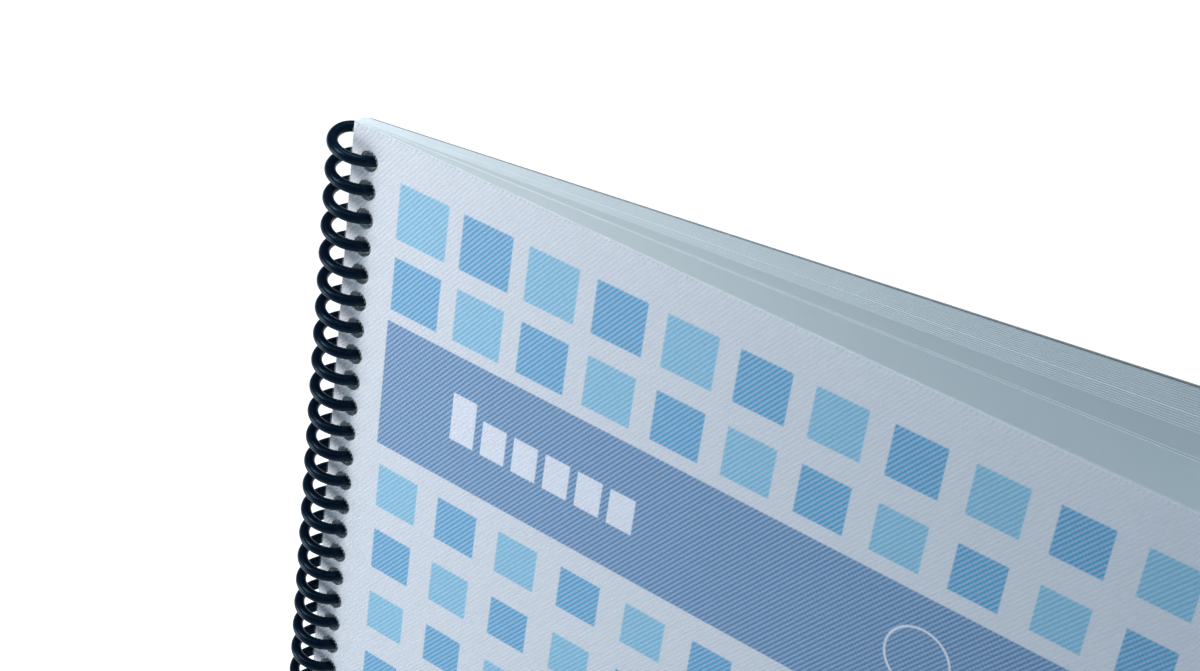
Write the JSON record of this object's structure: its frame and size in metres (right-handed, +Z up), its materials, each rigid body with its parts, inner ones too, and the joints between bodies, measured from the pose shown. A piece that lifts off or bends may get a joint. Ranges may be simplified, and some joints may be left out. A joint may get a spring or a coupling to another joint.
{
  "type": "coil-bound report",
  "caption": "Upright A4 report held by a plastic coil, with embossed frosted front cover, card back cover and leaves that turn on the coil.",
  "frame": {"origin": "middle of the whole object seen from above, on the surface the sheets stand on", "axes": "+Z up along the coil, +X from the coil towards the fore edge, +Y from the front cover towards the back cover"},
  "size_m": [0.2162, 0.048, 0.297],
  "materials": {
    "coil_plastic": "glossy",
    "frosted_cover": "embossed",
    "card": "matte",
    "paper": "matte"
  },
  "bodies": {
    "coil_and_back_cover": {"coil": "coil_plastic", "back_cover": "card"},
    "leaf_23": {"leaf_23": "paper"},
    "leaf_22": {"leaf_22": "paper"},
    "leaf_21": {"leaf_21": "paper"},
    "leaf_20": {"leaf_20": "paper"},
    "leaf_19": {"leaf_19": "paper"},
    "leaf_18": {"leaf_18": "paper"},
    "leaf_17": {"leaf_17": "paper"},
    "leaf_16": {"leaf_16": "paper"},
    "leaf_15": {"leaf_15": "paper"},
    "leaf_14": {"leaf_14": "paper"},
    "leaf_13": {"leaf_13": "paper"},
    "leaf_12": {"leaf_12": "paper"},
    "leaf_11": {"leaf_11": "paper"},
    "leaf_10": {"leaf_10": "paper"},
    "leaf_09": {"leaf_09": "paper"},
    "leaf_08": {"leaf_08": "paper"},
    "leaf_07": {"leaf_07": "paper"},
    "leaf_06": {"leaf_06": "paper"},
    "leaf_05": {"leaf_05": "paper"},
    "leaf_04": {"leaf_04": "paper"},
    "leaf_03": {"leaf_03": "paper"},
    "leaf_02": {"leaf_02": "paper"},
    "leaf_01": {"leaf_01": "paper"},
    "title_page": {"title_page": "paper"},
    "front_cover": {"front_cover": "frosted_cover"}
  },
  "joints": [
    {"name": "leaf_23_turn", "type": "hinge", "parent": "coil_and_back_cover", "child": "leaf_23", "pos_m": [-0.10208, 0, 0], "axis": [0, 0, -1], "range_deg": [-0.2501, 0.1685]},
    {"name": "leaf_22_turn", "type": "hinge", "parent": "leaf_23", "child": "leaf_22", "pos_m": [-0.10208, 0, 0], "axis": [0, 0, -1], "range_deg": [-0.2501, 0.1685]},
    {"name": "leaf_21_turn", "type": "hinge", "parent": "leaf_22", "child": "leaf_21", "pos_m": [-0.10208, 0, 0], "axis": [0, 0, -1], "range_deg": [-0.2501, 0.1685]},
    {"name": "leaf_20_turn", "type": "hinge", "parent": "leaf_21", "child": "leaf_20", "pos_m": [-0.10208, 0, 0], "axis": [0, 0, -1], "range_deg": [-0.2501, 0.1685]},
    {"name": "leaf_19_turn", "type": "hinge", "parent": "leaf_20", "child": "leaf_19", "pos_m": [-0.10208, 0, 0], "axis": [0, 0, -1], "range_deg": [-0.2501, 0.1685]},
    {"name": "leaf_18_turn", "type": "hinge", "parent": "leaf_19", "child": "leaf_18", "pos_m": [-0.10208, 0, 0], "axis": [0, 0, -1], "range_deg": [-0.2501, 0.1685]},
    {"name": "leaf_17_turn", "type": "hinge", "parent": "leaf_18", "child": "leaf_17", "pos_m": [-0.10208, 0, 0], "axis": [0, 0, -1], "range_deg": [-0.2501, 0.1685]},
    {"name": "leaf_16_turn", "type": "hinge", "parent": "leaf_17", "child": "leaf_16", "pos_m": [-0.10208, 0, 0], "axis": [0, 0, -1], "range_deg": [-0.2501, 0.1685]},
    {"name": "leaf_15_turn", "type": "hinge", "parent": "leaf_16", "child": "leaf_15", "pos_m": [-0.10208, 0, 0], "axis": [0, 0, -1], "range_deg": [-0.2501, 0.1685]},
    {"name": "leaf_14_turn", "type": "hinge", "parent": "leaf_15", "child": "leaf_14", "pos_m": [-0.10208, 0, 0], "axis": [0, 0, -1], "range_deg": [-0.2501, 0.1685]},
    {"name": "leaf_13_turn", "type": "hinge", "parent": "leaf_14", "child": "leaf_13", "pos_m": [-0.10208, 0, 0], "axis": [0, 0, -1], "range_deg": [-0.2501, 0.1685]},
    {"name": "report_open", "type": "hinge", "parent": "leaf_13", "child": "leaf_12", "pos_m": [-0.10208, 0, 0], "axis": [0, 0, -1], "range_deg": [-0.25, 78]},
    {"name": "leaf_11_climb", "type": "slide", "parent": "leaf_12", "child": "leaf_11", "axis": [0, 0, 1], "range_m": [-0.00001, 0.00138]},
    {"name": "leaf_10_turn", "type": "hinge", "parent": "leaf_11", "child": "leaf_10", "pos_m": [-0.10208, 0, 0], "axis": [0, 0, -1], "range_deg": [-0.2501, 0.1685]},
    {"name": "leaf_09_turn", "type": "hinge", "parent": "leaf_10", "child": "leaf_09", "pos_m": [-0.10208, 0, 0], "axis": [0, 0, -1], "range_deg": [-0.2501, 0.1685]},
    {"name": "leaf_08_turn", "type": "hinge", "parent": "leaf_09", "child": "leaf_08", "pos_m": [-0.10208, 0, 0], "axis": [0, 0, -1], "range_deg": [-0.2501, 0.1685]},
    {"name": "leaf_07_turn", "type": "hinge", "parent": "leaf_08", "child": "leaf_07", "pos_m": [-0.10208, 0, 0], "axis": [0, 0, -1], "range_deg": [-0.2501, 0.1685]},
    {"name": "leaf_06_turn", "type": "hinge", "parent": "leaf_07", "child": "leaf_06", "pos_m": [-0.10208, 0, 0], "axis": [0, 0, -1], "range_deg": [-0.2501, 0.1685]},
    {"name": "leaf_05_turn", "type": "hinge", "parent": "leaf_06", "child": "leaf_05", "pos_m": [-0.10208, 0, 0], "axis": [0, 0, -1], "range_deg": [-0.2501, 0.1685]},
    {"name": "leaf_fan", "type": "hinge", "parent": "leaf_05", "child": "leaf_04", "pos_m": [-0.10208, 0, 0], "axis": [0, 0, -1], "range_deg": [-2.6, 1.75]},
    {"name": "leaf_03_turn", "type": "hinge", "parent": "leaf_04", "child": "leaf_03", "pos_m": [-0.10208, 0, 0], "axis": [0, 0, -1], "range_deg": [-0.2501, 0.1685]},
    {"name": "leaf_02_turn", "type": "hinge", "parent": "leaf_03", "child": "leaf_02", "pos_m": [-0.10208, 0, 0], "axis": [0, 0, -1], "range_deg": [-4.54, 3.06]},
    {"name": "leaf_01_turn", "type": "hinge", "parent": "leaf_02", "child": "leaf_01", "pos_m": [-0.10208, 0, 0], "axis": [0, 0, -1], "range_deg": [-0.1003, 0.0677]},
    {"name": "title_page_climb", "type": "slide", "parent": "leaf_01", "child": "title_page", "axis": [0, 0, 1], "range_m": [-0.00001, 0.000681]},
    {"name": "front_cover_turn", "type": "hinge", "parent": "title_page", "child": "front_cover", "pos_m": [-0.10208, 0, 0], "axis": [0, 0, -1], "range_deg": [-0.1, 82]}
  ],
  "couplings": [
    {"joint": "leaf_23_turn", "follows": "leaf_fan", "ratio": 0.096154},
    {"joint": "leaf_22_turn", "follows": "leaf_fan", "ratio": 0.096154},
    {"joint": "leaf_21_turn", "follows": "leaf_fan", "ratio": 0.096154},
    {"joint": "leaf_20_turn", "follows": "leaf_fan", "ratio": 0.096154},
    {"joint": "leaf_19_turn", "follows": "leaf_fan", "ratio": 0.096154},
    {"joint": "leaf_18_turn", "follows": "leaf_fan", "ratio": 0.096154},
    {"joint": "leaf_17_turn", "follows": "leaf_fan", "ratio": 0.096154},
    {"joint": "leaf_16_turn", "follows": "leaf_fan", "ratio": 0.096154},
    {"joint": "leaf_15_turn", "follows": "leaf_fan", "ratio": 0.096154},
    {"joint": "leaf_14_turn", "follows": "leaf_fan", "ratio": 0.096154},
    {"joint": "leaf_13_turn", "follows": "leaf_fan", "ratio": 0.096154},
    {"joint": "leaf_11_climb", "follows": "report_open", "m_per_rad": 0.0010106},
    {"joint": "leaf_10_turn", "follows": "leaf_fan", "ratio": 0.096154},
    {"joint": "leaf_09_turn", "follows": "leaf_fan", "ratio": 0.096154},
    {"joint": "leaf_08_turn", "follows": "leaf_fan", "ratio": 0.096154},
    {"joint": "leaf_07_turn", "follows": "leaf_fan", "ratio": 0.096154},
    {"joint": "leaf_06_turn", "follows": "leaf_fan", "ratio": 0.096154},
    {"joint": "leaf_05_turn", "follows": "leaf_fan", "ratio": 0.096154},
    {"joint": "leaf_03_turn", "follows": "leaf_fan", "ratio": 0.096154},
    {"joint": "leaf_02_turn", "follows": "leaf_fan", "ratio": 1.75},
    {"joint": "leaf_01_turn", "follows": "leaf_fan", "ratio": 0.038462},
    {"joint": "title_page_climb", "follows": "front_cover_turn", "m_per_rad": 0.00047514}
  ]
}
